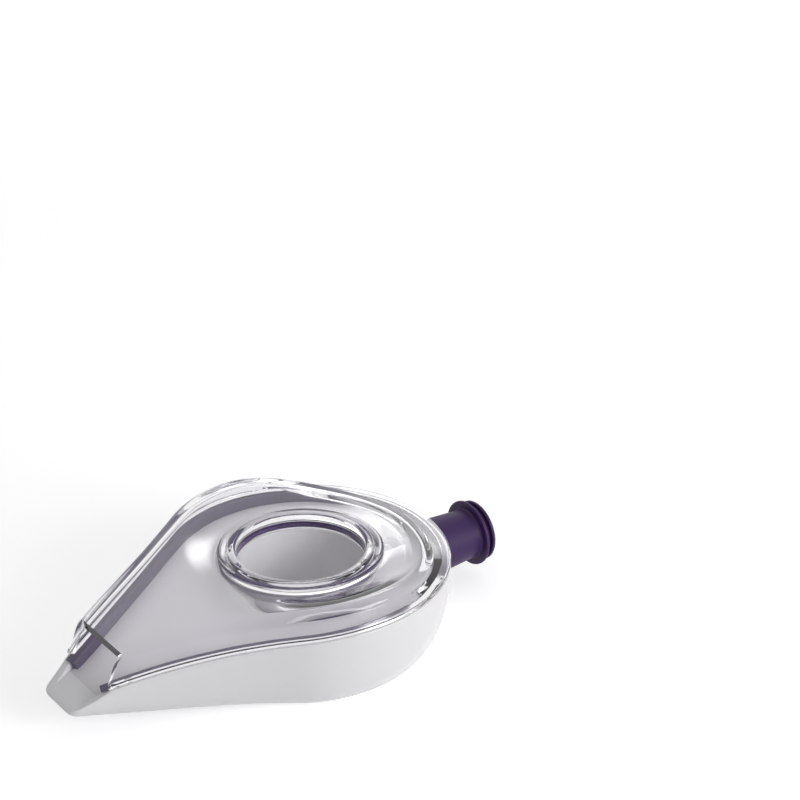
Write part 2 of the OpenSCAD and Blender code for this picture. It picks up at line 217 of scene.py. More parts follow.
class Form:
    """The part's outline and heights in millimetres, worked out from the size groups."""

    # Steps along the round end, a flank, a corner of the nose and half of the spout's front edge.
    ROUND, FLANK, NOSE, FRONT = 64, 56, 14, 8
    # Length of the handles that shape a flank, as a share of its chord.
    FLANK_PULL = 0.33
    # Share by which the bowl draws in less at the spout.
    DRAW_LESS = 0.62
    # Start and length of the changes towards the spout, of the bowl's sides and the cover's edge.
    DRAW_EASE, EDGE_EASE = (25, 50), (35, 30)
    # At the round end: how much further in the cover's edge is, and how much wall stays upright.
    REAR_IN, REAR_UPRIGHT = 4, 0.3

    def __init__(self):
        scene = bpy.context.scene
        for name, value in self.sizes(scene.filter_body).items():
            setattr(self, name, value)
        self.base = self.sizes(scene.filter_base)
        self.cover = self.sizes(scene.filter_cover)
        self.soft = self.sizes(scene.filter_soft)
        self.side = self.outline()
        self.inward = self.normals(self.side)

    @staticmethod
    def sizes(group):
        """A group's numbers by name, the lengths among them in millimetres."""
        rows = group.bl_rna.properties
        return {name: getattr(group, name) / (MM if rows[name].unit == "LENGTH" else 1)
                for name in group.__annotations__ if isinstance(getattr(group, name), float)}

    def outline(self):
        """One side of the outline at the rim, from the rear round to the spout's front edge."""
        start, slope = math.radians(self.flank_start), math.radians(self.flank_slope)
        turn = np.linspace(0, start, self.ROUND + 1)
        round_end = self.body_r * np.stack([np.cos(turn), np.sin(turn)], 1)
        a, d = round_end[-1], np.array([-self.flank_x, self.flank_w / 2])
        along = np.array([math.cos(slope), math.sin(slope)])
        pull = self.FLANK_PULL * np.hypot(*(d - a))
        b = a + pull * np.array([-math.sin(start), math.cos(start)])
        c = d + pull * along
        t = np.linspace(0, 1, self.FLANK + 1)[1:, None]
        flank = (1 - t) ** 3 * a + 3 * (1 - t) ** 2 * t * b + 3 * (1 - t) * t ** 2 * c + t ** 3 * d
        tip = d - along * (self.tip_x - self.flank_x) / math.cos(slope)
        p, q = tip + self.nose_round * along, tip - np.array([0, self.nose_round])
        t = np.linspace(0, 1, self.NOSE + 1)[:, None]
        nose = (1 - t) ** 2 * p + 2 * (1 - t) * t * tip + t ** 2 * q
        t = np.linspace(0, 1, self.FRONT + 1)[1:-1, None]
        front = q * np.hstack([np.ones_like(t), 1 - t])
        return np.vstack([round_end, flank, nose, front, [[-self.tip_x, 0.0]]])

    @staticmethod
    def normals(side):
        """Inward direction at each point of the side."""
        before = np.vstack([side[1] * [1, -1], side[:-1]])
        after = np.vstack([side[1:], side[-2] * [1, -1]])
        way = after - before
        way /= np.linalg.norm(way, axis=1)[:, None]
        return np.stack([-way[:, 1], way[:, 0]], 1)

    @staticmethod
    def towards_spout(x, start, span):
        """Eases from 0 to 1 along the part, from a distance before the hole over a span."""
        return smooth((-x - start) / span)

    def rim_z(self, x):
        """Height of the rim, which bends down towards the spout."""
        return self.rim_h - self.bend_drop * (np.maximum(-x, 0) / self.mouth_x) ** 2

    def keel_z(self, x):
        """Height of the underside, which rises to the tip."""
        far = np.maximum(-x - self.keel_start, 0) / (self.tip_x - self.keel_start)
        return self.keel_rise * far ** KEEL_CURVE

    def floor_z(self, x):
        """Height of the tray's floor, which runs on into the trough."""
        share = self.towards_spout(x, self.mouth_x, self.tip_x - self.mouth_x)
        return self.rim_z(x) - mix(self.floor_depth, self.trough_depth, share)

    def bowl_draw(self, x):
        """How far the bowl draws in from the rim to the underside."""
        less = self.DRAW_LESS * self.towards_spout(x, *self.DRAW_EASE)
        return self.base["bowl_inset"] * (1 - less)

    def edge_h(self, x):
        """Height of the cover's top edge above the rim."""
        return mix(self.cover["height"], self.cover["rear_h"], smooth(x / self.body_r))

    def edge_round(self, x):
        """Radius of the cover's top edge."""
        rear = self.cover["rear_h"] - self.cover["flange_h"] - self.REAR_UPRIGHT
        front = mix(self.cover["edge_r"], self.cover["mouth_r"],
                    self.towards_spout(x, *self.EDGE_EASE))
        return mix(front, rear, smooth(x / self.body_r))

    def edge_in(self, x):
        """How far the upper wall of the cover stands in from the outline."""
        rear = mix(0, self.REAR_IN, smooth(x / self.body_r))
        return self.cover["flange_w"] + self.cover["lean"] + rear

    def top_z(self, p):
        """Height of the cover's top, which dips down to the collar."""
        far = np.linalg.norm(p, axis=-1) - (BORE + self.cover["lip_w"])
        rim = self.rim_z(p[..., 0]) + self.edge_h(p[..., 0])
        return mix(self.rim_h + self.cover["dish_h"], rim, smooth(far / self.cover["dish_w"]))

    def loop(self, inset, front=None):
        """The whole outline, anticlockwise from the rear, drawn in by an inset for each station."""
        inset = np.broadcast_to(inset, len(self.side))
        half = self.side + self.inward * inset[:, None]
        if front is not None:
            half = half * np.minimum(1, front / np.minimum(half[:, :1], -1e-6))
        return np.vstack([half, half[-2:0:-1] * [1, -1]])

    def stations(self):
        """The length along X of each station of the whole outline."""
        x = self.side[:, 0]
        return np.concatenate([x, x[-2:0:-1]])

    def up_to(self, front):
        """The side and its inward directions, from the rear to a front edge across X."""
        x = self.side[:, 0]
        last = int(np.argmax(x < front))
        t = (front - x[last - 1]) / (x[last] - x[last - 1])
        return [np.vstack([rows[:last], mix(rows[last - 1], rows[last], t)])
                for rows in (self.side, self.inward)]


def circle_like(loop, radius):
    """The points of a circle in the directions of a loop's points."""
    return loop / np.linalg.norm(loop, axis=1)[:, None] * radius


def ring(xy, z):
    """A ring of points from places in plan and heights."""
    return np.column_stack([xy, np.broadcast_to(z, len(xy))])


def joined_rings(rings):
    """Points and quads of a closed skin over rings of like points, the last joined to the first."""
    n = len(rings[0])
    k, i = np.meshgrid(np.arange(len(rings)), np.arange(n), indexing="ij")
    near, far = k * n, (k + 1) % len(rings) * n
    quads = np.stack([near + i, near + (i + 1) % n, far + (i + 1) % n, far + i], -1)
    return np.vstack(rings), quads.reshape(-1, 4)


def tidy(obj, angle):
    """Merges doubles, turns faces outwards and shades the mesh smooth."""
    mesh = obj.data
    work = bmesh.new()
    work.from_mesh(mesh)
    bmesh.ops.remove_doubles(work, verts=work.verts, dist=1e-7)
    bmesh.ops.dissolve_degenerate(work, edges=work.edges, dist=1e-7)
    bmesh.ops.recalc_face_normals(work, faces=work.faces)
    work.to_mesh(mesh)
    work.free()
    mesh.polygons.foreach_set("use_smooth", [True] * len(mesh.polygons))
    mesh.set_sharp_from_angle(angle=math.radians(angle))
    mesh.update()


def new_object(name, mesh):
    """An object for a mesh, in the scene."""
    obj = bpy.data.objects.new(name, mesh)
    bpy.context.scene.collection.objects.link(obj)
    return obj


def piece(name, points, faces, material, angle=35.0):
    """A mesh object in metres with outward faces, smooth up to an angle between faces."""
    mesh = bpy.data.meshes.new(name)
    mesh.from_pydata((np.asarray(points) * MM).tolist(), [], [list(map(int, f)) for f in faces])
    obj = new_object(name, mesh)
    tidy(obj, angle)
    mesh.materials.append(material)
    return obj


def guide(name, points, faces, edges, values):
    """A mesh for a tree to work on, with the values that its points carry."""
    mesh = bpy.data.meshes.new(name)
    mesh.from_pydata((np.asarray(points) * MM).tolist(), edges, faces)
    for label, value in values.items():
        value = np.asarray(value, float)
        kind, field = ("FLOAT", "value") if value.ndim == 1 else ("FLOAT_VECTOR", "vector")
        mesh.attributes.new(label, kind, "POINT").data.foreach_set(field, value.ravel())
    return new_object(name, mesh)


def baked(obj, modifier):
    """Replaces a piece's mesh by its modifier's result and removes the modifier."""
    graph = bpy.context.evaluated_depsgraph_get()
    mesh = bpy.data.meshes.new_from_object(obj.evaluated_get(graph))
    obj.modifiers.remove(modifier)
    old, obj.data = obj.data, mesh
    bpy.data.meshes.remove(old)
    mesh.name = obj.name
    return mesh


def cut(obj, tool, operation="DIFFERENCE"):
    """Takes a closed tool away from a piece, or joins it on, and removes the tool."""
    mod = obj.modifiers.new("cut", "BOOLEAN")
    mod.object, mod.operation, mod.solver = tool, operation, "MANIFOLD"
    baked(obj, mod)
    bpy.data.objects.remove(tool)


def turned(profile, segments=144):
    """Points and quads of a closed profile of radii and heights turned about Z."""
    turn = np.linspace(0, 2 * math.pi, segments, endpoint=False)
    way = np.stack([np.cos(turn), np.sin(turn)], 1)
    return joined_rings([ring(way * r, z) for r, z in profile])


def rod(radius, low, high):
    """The profile of a plain rod."""
    return [(0, low), (radius, low), (radius, high), (0, high)]


def rounded(profile, radius, steps=4):
    """A closed profile with its corners rounded."""
    pts = [np.array(p, float) for p in profile]
    out = []
    for k, p in enumerate(pts):
        a, b = pts[k - 1] - p, pts[(k + 1) % len(pts)] - p
        la, lb = np.hypot(*a), np.hypot(*b)
        r = min(radius, 0.45 * la, 0.45 * lb)
        a, b = p + a / la * r, p + b / lb * r
        for t in np.linspace(0, 1, steps + 1):
            out.append((1 - t) ** 2 * a + 2 * (1 - t) * t * p + t * t * b)
    return out


def along_stopper(points, x, z):
    """Turns points about Z so that their axis lies along the stopper."""
    points = np.asarray(points)
    return np.column_stack([points[:, 2] + x, points[:, 1], -points[:, 0] + z])


def bore_port(obj, f, x, low, high):
    """Bores the stopper's port through a piece, between two distances from a place along X."""
    points, quads = turned(rod(f.base["port_r"], low, high), 96)
    points = along_stopper(points, x, f.soft["stopper_z"])
    cut(obj, piece("port", points, quads, obj.data.materials[0]))


def upright_block(name, low, high, radius, material):
    """An upright box with rounded corners, in millimetres."""
    loop = []
    for quarter, (i, j) in enumerate(((1, 1), (0, 1), (0, 0), (1, 0))):
        x, y = ((low, high)[k][axis] + (radius, -radius)[k] for axis, k in enumerate((i, j)))
        for turn in range(0, 91, 15):
            a = math.radians(90 * quarter + turn)
            loop.append((x + radius * math.cos(a), y + radius * math.sin(a)))
    n = len(loop)
    points = [(x, y, z) for z in (low[2], high[2]) for x, y in loop]
    faces = [tuple(range(n))[::-1], tuple(range(n, 2 * n))]
    faces += [(i, (i + 1) % n, n + (i + 1) % n, n + i) for i in range(n)]
    return piece(name, points, faces, material)


class Nodes:
    """A node tree, with short ways to add nodes and to set or link their inputs."""

    def __init__(self, tree):
        self.tree = tree

    def join(self, value, socket):
        """Links a node or a socket to an input, or sets the input's own value."""
        if isinstance(value, bpy.types.Node):
            value = value.outputs[0]
        if isinstance(value, bpy.types.NodeSocket):
            self.tree.links.new(value, socket)
        else:
            socket.default_value = value

    def give(self, node, sockets):
        """Sets or links inputs of a node, by name or number."""
        for label, value in sockets.items():
            self.join(value, node.inputs[label])
        return node

    def add(self, kind, sockets=(), **settings):
        """A new node with its settings and its inputs."""
        node = self.tree.nodes.new(kind)
        for key, value in settings.items():
            setattr(node, key, value)
        return self.give(node, dict(sockets))

    def math(self, operation, *terms, kind="ShaderNodeMath", result=0):
        """The result of one sum on numbers, or of another kind of sum."""
        node = self.add(kind, operation=operation)
        for value, socket in zip(terms, node.inputs):
            self.join(value, socket)
        return node.outputs[result]

    def distance(self, place, other=(0.0, 0.0, 0.0)):
        """The distance between two places."""
        return self.math("DISTANCE", place, other, kind="ShaderNodeVectorMath", result=1)


class Tree(Nodes):
    """A Geometry Nodes tree with named inputs for its sizes and its finish."""

    def __init__(self, name, **inputs):
        super().__init__(bpy.data.node_groups.new(name, "GeometryNodeTree"))
        sockets = [(label, kind) for kind, labels in inputs.items() for label in labels]
        for label, kind in (("Piece", "Geometry"), *sockets, ("Finish", "Material")):
            self.tree.interface.new_socket(label, in_out="INPUT", socket_type="NodeSocket" + kind)
        self.tree.interface.new_socket("Piece", in_out="OUTPUT", socket_type="NodeSocketGeometry")
        self.inputs = self.add("NodeGroupInput").outputs

    def vector(self, x, y, z):
        """A vector from three numbers."""
        return self.add("ShaderNodeCombineXYZ", {"X": x, "Y": y, "Z": z}).outputs[0]

    def parts_of(self, vector):
        """The three numbers of a vector."""
        return self.add("ShaderNodeSeparateXYZ", {"Vector": vector}).outputs

    def attribute(self, name, kind="FLOAT"):
        """A value that the mesh carries at each point."""
        node = self.add("GeometryNodeInputNamedAttribute", {"Name": name}, data_type=kind)
        return node.outputs[0]

    def rectangle(self, width, height, x, y, rounding):
        """A rounded rectangle about a place, as a profile to sweep."""
        box = self.add("GeometryNodeCurvePrimitiveQuadrilateral",
                       {"Width": width, "Height": height})
        soft = self.add("GeometryNodeFilletCurve", {"Curve": box, "Count": 3, "Radius": rounding,
                                                    "Limit Radius": True}, mode="POLY")
        return self.add("GeometryNodeTransform",
                        {"Geometry": soft, "Translation": self.vector(x, y, 0.0)})

    def circle(self, radius, steps):
        """A circle as a path or a profile."""
        return self.add("GeometryNodeCurvePrimitiveCircle", {"Resolution": steps, "Radius": radius})

    def swept(self, path, profile, caps=False):
        """A profile swept along a path."""
        return self.add("GeometryNodeCurveToMesh",
                        {"Curve": path, "Profile Curve": profile, "Fill Caps": caps})

    def row(self, instance, count, start, step, **turn_and_size):
        """Copies of a geometry at even steps from a start."""
        places = self.add("GeometryNodeMeshLine",
                          {"Count": count, "Start Location": start, "Offset": step})
        return self.add("GeometryNodeInstanceOnPoints",
                        {"Points": places, "Instance": instance, **turn_and_size})

    def joined(self, *parts):
        """Several geometries as one."""
        node = self.add("GeometryNodeJoinGeometry")
        for part in reversed(parts):
            self.join(part, node.inputs[0])
        return node

    def done(self, geometry):
        """Ends the tree with real meshes in their finish."""
        real = self.add("GeometryNodeRealizeInstances", {"Geometry": geometry})
        last = self.add("GeometryNodeSetMaterial",
                        {"Geometry": real, "Material": self.inputs["Finish"]})
        self.add("NodeGroupOutput", {"Piece": last})
        return self.tree


def grow(obj, tree, values):
    """Runs a tree on a piece with its named inputs and keeps the result as a plain mesh."""
    mod = obj.modifiers.new(tree.name, "NODES")
    mod.node_group = tree
    for item in tree.interface.items_tree:
        if item.item_type == "SOCKET" and item.in_out == "INPUT" and item.name in values:
            mod[item.identifier] = values[item.name]
    mesh = baked(obj, mod)
    for name in [a.name for a in mesh.attributes if a.name in GUIDES]:
        mesh.attributes.remove(mesh.attributes[name])


def bowl_tree():
    """Draws the bowl in from the rim to the keel along quarter ellipses."""
    t = Tree("drawn_bowl", Float=("Bowl inset", "Keel rise", "Keel start", "Tip"))
    turn = t.attribute("turn")
    draw = t.math("MULTIPLY", t.attribute("draw"), t.inputs["Bowl inset"])
    inset = t.math("MULTIPLY", draw, t.math("SUBTRACT", 1.0, t.math("COSINE", turn)))
    inward, edge = (t.attribute(name, "FLOAT_VECTOR") for name in ("inward", "edge"))
    x, y, top = t.parts_of(t.math("MULTIPLY_ADD", inward, inset, edge, kind="ShaderNodeVectorMath"))
    past = t.math("SUBTRACT", t.math("MULTIPLY", x, -1.0), t.inputs["Keel start"])
    span = t.math("SUBTRACT", t.inputs["Tip"], t.inputs["Keel start"])
    far = t.math("DIVIDE", t.math("MAXIMUM", past, 0.0), span)
    low = t.math("MULTIPLY", t.inputs["Keel rise"], t.math("POWER", far, KEEL_CURVE))
    rise = t.math("SUBTRACT", 1.0, t.math("SINE", turn))
    z = t.math("MULTIPLY_ADD", t.math("SUBTRACT", top, low), rise, low)
    return t.done(t.add("GeometryNodeSetPosition", {
        "Geometry": t.inputs["Piece"], "Selection": t.attribute("bowl"),
        "Position": t.vector(x, y, z)}))


def seal_tree():
    """Sweeps the seal's band and lip along the rim."""
    t = Tree("swept_seal", Float=("Band", "Depth", "Back", "Lip", "Lip back", "Clearance",
                                  "Rounding"))
    path = t.add("GeometryNodeMeshToCurve", {"Mesh": t.inputs["Piece"]})
    path = t.add("GeometryNodeSetCurveNormal", {"Curve": path}, mode="Z_UP")
    band, lip, gap = t.inputs["Band"], t.inputs["Lip"], t.inputs["Clearance"]
    inner = t.math("ADD", t.inputs["Back"], band)
    tall = t.math("ADD", t.inputs["Depth"], lip)
    across = t.math("MULTIPLY_ADD", band, -0.5, inner)
    middle = t.math("SUBTRACT", t.math("MULTIPLY", tall, 0.5), t.math("ADD", lip, gap))
    upright = t.rectangle(band, tall, across, middle, t.inputs["Rounding"])
    wide = t.math("SUBTRACT", across, t.inputs["Lip back"])
    across = t.math("MULTIPLY_ADD", wide, 0.5, t.inputs["Lip back"])
    height = t.math("MULTIPLY", t.math("MULTIPLY_ADD", lip, 0.5, gap), -1.0)
    flat = t.rectangle(wide, lip, across, height, t.inputs["Rounding"])
    swept = t.joined(t.swept(path, upright, True), t.swept(path, flat, True))
    x, y, z = t.parts_of(t.add("GeometryNodeInputPosition"))
    rim = t.attribute("rim")
    z = t.math("MULTIPLY_ADD", t.math("SUBTRACT", z, rim), t.attribute("depth"), rim)
    return t.done(t.add("GeometryNodeSetPosition",
                        {"Geometry": swept, "Position": t.vector(x, y, z)}))


def fin_tree():
    """Sets evenly spaced round fins on the stopper's shank."""
    t = Tree("stopper_fins", Int=("Fins",), Float=(
        "First fin", "Pitch", "Axis height", "Taper", "Radius", "Root", "Thickness", "Rounding"))
    wide = t.math("SUBTRACT", t.inputs["Radius"], t.inputs["Root"])
    middle = t.math("MULTIPLY_ADD", wide, 0.5, t.inputs["Root"])
    profile = t.rectangle(wide, t.inputs["Thickness"], 0.0, 0.0, t.inputs["Rounding"])
    share = t.math("MULTIPLY", t.add("GeometryNodeInputIndex"), t.inputs["Taper"])
    size = t.math("SUBTRACT", 1.0, share)
    fins = t.row(t.swept(t.circle(middle, 144), profile), t.inputs["Fins"],
                 t.vector(t.inputs["First fin"], 0.0, t.inputs["Axis height"]),
                 t.vector(t.inputs["Pitch"], 0.0, 0.0),
                 Rotation=(0.0, math.pi / 2, 0.0), Scale=t.vector(size, size, 1.0))
    return t.done(t.joined(t.inputs["Piece"], fins))


def weave_tree():
    """Weaves steel wires in a round frame."""
    t = Tree("woven_screen", Int=("Wires",),
             Float=("Pitch", "Wire", "Radius", "Frame", "Thickness"))
    # Steps of a wire between crossings, its swing in wires and the frame's rounding in thicknesses.
    bends, swing, rounding = 6.0, 0.55, 0.3
    pitch, count, thick = t.inputs["Pitch"], t.inputs["Wires"], t.inputs["Thickness"]
    reach = t.math("MULTIPLY", pitch, t.math("MULTIPLY_ADD", count, 0.5, -0.5))
    back = t.math("MULTIPLY", reach, -1.0)
    line = t.add("GeometryNodeCurvePrimitiveLine",
                 {"Start": t.vector(back, 0.0, 0.0), "End": t.vector(reach, 0.0, 0.0)})
    line = t.add("GeometryNodeResampleCurve", {
        "Curve": line, "Count": t.math("MULTIPLY_ADD", count, bends, 1.0 - bends)})
    place = t.add("GeometryNodeInputPosition")
    along = t.math("MULTIPLY", t.math("ADD", t.parts_of(place)[0], reach), math.pi)
    wave = t.math("COSINE", t.math("DIVIDE", along, pitch))
    height = t.math("MULTIPLY", wave, t.math("MULTIPLY", t.inputs["Wire"], swing))
    wave = t.add("GeometryNodeSetPosition",
                 {"Geometry": line, "Offset": t.vector(0.0, 0.0, height)})
    wire = t.swept(wave, t.circle(t.math("MULTIPLY", t.inputs["Wire"], 0.5), 6), True)
    odd = t.math("MODULO", t.add("GeometryNodeInputIndex"), 2.0)
    rows = t.row(wire, count, t.vector(0.0, back, 0.0), t.vector(0.0, pitch, 0.0),
                 Rotation=t.vector(t.math("MULTIPLY", odd, math.pi), 0.0, 0.0))
    rows = t.add("GeometryNodeRealizeInstances", {"Geometry": rows})
    columns = t.add("GeometryNodeTransform",
                    {"Geometry": rows, "Rotation": (math.pi, 0.0, math.pi / 2)})
    middle = t.math("MULTIPLY_ADD", t.inputs["Frame"], -0.5, t.inputs["Radius"])
    inside = t.math("LESS_THAN", t.distance(place), middle)
    mesh = t.add("GeometryNodeSeparateGeometry",
                 {"Geometry": t.joined(rows, columns), "Selection": inside}, domain="FACE")
    profile = t.rectangle(t.inputs["Frame"], thick, 0.0, 0.0,
                          t.math("MULTIPLY", thick, rounding))
    return t.done(t.joined(mesh, t.swept(t.circle(middle, 72), profile)))


def placed(obj, node):
    """Rides a finished piece on the part and lets it stand for its node."""
    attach(obj, "root")
    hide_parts(node)


def surface_group():
    """Node group for moulded surfaces: slow colour drift, fine grain and uneven gloss."""
    name = "moulded_surface"
    if name in bpy.data.node_groups:
        return bpy.data.node_groups[name]
    t = Nodes(bpy.data.node_groups.new(name, "ShaderNodeTree"))
    for way, kind, labels in (
            ("INPUT", "Color", ("Colour", "Shade")),
            ("INPUT", "Float", ("Gloss", "Gloss drift", "Drift size", "Grain size")),
            ("OUTPUT", "Color", ("Colour",)), ("OUTPUT", "Float", ("Roughness", "Height"))):
        for label in labels:
            t.tree.interface.new_socket(label, in_out=way, socket_type="NodeSocket" + kind)
    given = t.add("NodeGroupInput").outputs
    place = t.add("ShaderNodeTexCoord").outputs["Object"]
    drift, grain = (
        t.add("ShaderNodeTexNoise", {"Vector": place, "Scale": given[size], "Detail": detail})
        for size, detail in (("Drift size", 3.0), ("Grain size", 2.0)))
    # Sockets 6 and 7 of a Mix node, and its output 2, are the ones for colours.
    blend = t.add("ShaderNodeMix", data_type="RGBA")
    t.give(blend, {"Factor": drift, 6: given["Colour"], 7: given["Shade"]})
    rough = t.math("MULTIPLY_ADD", drift, given["Gloss drift"], given["Gloss"])
    t.add("NodeGroupOutput", {"Colour": blend.outputs[2], "Roughness": rough, "Height": grain})
    return t.tree


def finish(name, rgb, own, shade, gloss, gloss_drift, drift_size, grain, grain_size):
    """A material on the moulded surface group, with own values for the shader's other sockets."""
    material = bpy.data.materials.new(name)
    material.use_nodes = True
    t = Nodes(material.node_tree)
    group = t.add("ShaderNodeGroup", node_tree=surface_group())
    t.give(group, {"Colour": (*rgb, 1), "Shade": (*[c * shade for c in rgb], 1), "Gloss": gloss,
                   "Gloss drift": gloss_drift, "Drift size": drift_size,
                   "Grain size": grain_size})
    relief = t.add("ShaderNodeBump", {"Strength": grain, "Distance": 0.1 * MM,
                                      "Height": group.outputs["Height"]})
    t.give(t.tree.nodes["Principled BSDF"], {
        "Base Color": group.outputs["Colour"], "Roughness": group.outputs["Roughness"],
        "Normal": relief, **own})
    return material


def white_gloss():
    """Polished white of the base."""
    return finish("white_gloss", bpy.context.scene.filter_base.gloss, {"IOR": 1.49}, shade=0.97,
                  gloss=0.16, gloss_drift=0.08, drift_size=60.0, grain=0.05, grain_size=1800.0)


def white_satin():
    """Satin white of the tray. Part of its darker tone is its own, and part is painted shade on its
    upward face.
    """
    return finish("white_satin", bpy.context.scene.filter_base.satin, {"IOR": 1.49}, shade=0.97,
                  gloss=0.38, gloss_drift=0.1, drift_size=60.0, grain=0.12, grain_size=2600.0)


def silicone(tone):
    """Soft silicone in one of the two purples."""
    return finish(tone + "_silicone", getattr(bpy.context.scene.filter_soft, tone), {"IOR": 1.38},
                  shade=0.8, gloss=0.42, gloss_drift=0.14, drift_size=90.0, grain=0.05,
                  grain_size=3200.0)


def steel():
    """Steel of the screen."""
    return finish("steel", bpy.context.scene.filter_screen.steel, {"Metallic": 1.0}, shade=0.85,
                  gloss=0.28, gloss_drift=0.15, drift_size=400.0, grain=0.3, grain_size=4000.0)


def clear_plastic():
    """Clear plastic that lets light through to what lies under it."""
    material = finish("clear_plastic", bpy.context.scene.filter_cover.clear,
                      {"IOR": 1.46, "Transmission Weight": 1.0}, shade=0.99, gloss=0.012,
                      gloss_drift=0.03, drift_size=40.0, grain=0.01, grain_size=900.0)
    t = Nodes(material.node_tree)
    shadow_ray = t.add("ShaderNodeLightPath").outputs["Is Shadow Ray"]
    plastic = t.tree.nodes["Principled BSDF"]
    through = t.add("ShaderNodeBsdfTransparent", {"Color": (0.86, 0.86, 0.88, 1)})
    either = t.add("ShaderNodeMixShader", {"Fac": shadow_ray, 1: plastic, 2: through})
    t.give(t.tree.nodes["Material Output"], {"Surface": either})
    return material


class FILTER_OT_base(bpy.types.Operator):
    """Makes the white bowl with its spout, tube and boss"""
    bl_idname = "filter.base"
    bl_label = "Base"
    # Rings across the underside, and steps up the drawn side of the bowl.
    UNDER, DRAWN = 10, 18
    # Length at the spout's tip over which the side walls have already fallen to the lip.
    TIP_FLAT = 1
    # Inset of the tray's pocket, its extra depth, and the room between tray and bowl behind it.
    POCKET_IN, POCKET_DEEP, BOWL_DEEP = 0.1, 0.05, 0.3
    # How far the tube's top is below the rim.
    TUBE_DROP = 0.1
    # The boss: reach into the bowl, rounding, and the rooms it leaves at the wall and the tray.
    BOSS_IN, BOSS_ROUND, BOSS_PAST, BOSS_LOW = 7.5, 0.3, 1.2, 0.15

    def execute(self, context):
        f = Form()
        b = f.base
        x = f.stations()
        tip = f.towards_spout(x, b["lip_start"], f.tip_x - b["lip_start"] - self.TIP_FLAT)
        wall_top = mix(f.rim_z(x), f.floor_z(x), tip)
        draw = f.bowl_draw(f.side[:, 0])
        foot = f.loop(draw)
        circle = circle_like(foot, 1.0)
        edge = ring(f.loop(0), wall_top - b["edge"])
        under = self.underside(f, circle, foot)
        sweep = np.linspace(math.pi / 2, 0, self.DRAWN + 1)
        rings = under + [edge] * len(sweep) + self.wall(f, wall_top) + self.hollow(f, circle, draw)
        turns = np.full(len(rings), -1.0)
        turns[len(under):len(under) + len(sweep)] = sweep
        turns = np.repeat(turns, len(edge))
        points, quads = joined_rings(rings)
        share = np.concatenate([draw, draw[-2:0:-1]]) / b["bowl_inset"]
        way = np.vstack([f.inward, f.inward[-2:0:-1] * [1, -1]])
        rows = len(rings)
        obj = guide("white_base", points, quads.tolist(), [], {
            "turn": turns, "bowl": turns > -0.5, "draw": np.tile(share, rows),
            "inward": np.tile(ring(way, 0), (rows, 1)), "edge": np.tile(edge * MM, (rows, 1))})
        grow(obj, bowl_tree(), {"Bowl inset": b["bowl_inset"] * MM, "Keel rise": f.keel_rise * MM,
                                "Keel start": f.keel_start * MM, "Tip": f.tip_x * MM,
                                "Finish": white_gloss()})
        tidy(obj, 32)
        self.add_boss(obj, f)
        tidy(obj, 32)
        placed(obj, "base")
        return {"FINISHED"}

    def underside(self, f, circle, foot):
        """Rings from the hole's edge across the underside."""
        start = circle * (BORE + f.base["edge"])
        rings = [ring(circle * BORE, f.base["edge"]), ring(start, 0)]
        for share in np.linspace(0.08, 0.92, self.UNDER):
            p = mix(start, foot, share)
            rings.append(ring(p, f.keel_z(p[:, 0])))
        return rings

    @staticmethod
    def wall(f, wall_top):
        """Rings over the wall's rounded top and down its inner side to the floor."""
        b = f.base
        rings = []
        for turn in (30, 60, 90):
            back, down = corner(turn)
            rings.append(ring(f.loop(b["edge"] * back), wall_top - b["edge"] * down))
        for turn in (90, 60, 30, 0):
            back, down = corner(turn)
            p = f.loop(b["wall"] - b["edge"] * back)
            z = np.maximum(wall_top - b["edge"] * down, f.floor_z(p[:, 0]))
            rings.append(ring(p, z))
        return rings + [ring(p, mix(z, f.floor_z(p[:, 0]), share)) for share in (0.5, 1.0)]

    def hollow(self, f, circle, draw):
        """Rings down the tray's pocket, over its ledge, round inside the bowl and up the tube."""
        b = f.base
        pocket = f.loop(b["wall"] + self.POCKET_IN, front=-b["tray_front"])
        ledge = f.loop(b["wall"] + b["ledge_w"], front=-b["cavity_x"])
        rings = [ring(pocket, f.floor_z(pocket[:, 0]))]
        for p in (pocket, ledge):
            rings.append(ring(p, f.floor_z(p[:, 0]) - b["tray_t"] - self.POCKET_DEEP))
        for turn in (0, 22.5, 45, 67.5, 90):
            back, down = corner(turn)
            p = f.loop(b["wall"] + np.maximum(b["ledge_w"], draw * back), front=-b["cavity_x"])
            top = f.floor_z(p[:, 0]) - b["tray_t"] - self.BOWL_DEEP
            rings.append(ring(p, mix(f.keel_z(p[:, 0]) + b["bottom_t"], top, down)))
        tube = circle * (BORE + f.cover["tube_wall"])
        inner = p
        for share in (0.35, 0.7):
            p = mix(inner, tube, share)
            rings.append(ring(p, f.keel_z(p[:, 0]) + b["bottom_t"]))
        tube_top = f.rim_h - self.TUBE_DROP
        return rings + [ring(tube, b["bottom_t"]), ring(tube, tube_top),
                        ring(circle * BORE, tube_top)]

    def add_boss(self, obj, f):
        """Joins the stopper's boss to the rear wall and bores the port."""
        b = f.base
        start = f.body_r - self.BOSS_IN
        profile = rounded(rod(b["boss_r"], 0, b["boss_end"] - start), self.BOSS_ROUND)
        pts, quads = turned(profile, 96)
        pts = along_stopper(pts, start, f.soft["stopper_z"])
        limit = f.rim_h - f.floor_depth - b["tray_t"] - self.BOSS_LOW
        inside = pts[:, 0] < f.body_r - b["wall"] - self.BOSS_PAST
        pts[:, 2] = np.where(inside, np.minimum(pts[:, 2], limit), pts[:, 2])
        cut(obj, piece("boss", pts, quads, obj.data.materials[0]), "UNION")
        bore_port(obj, f, start, -1, 30)


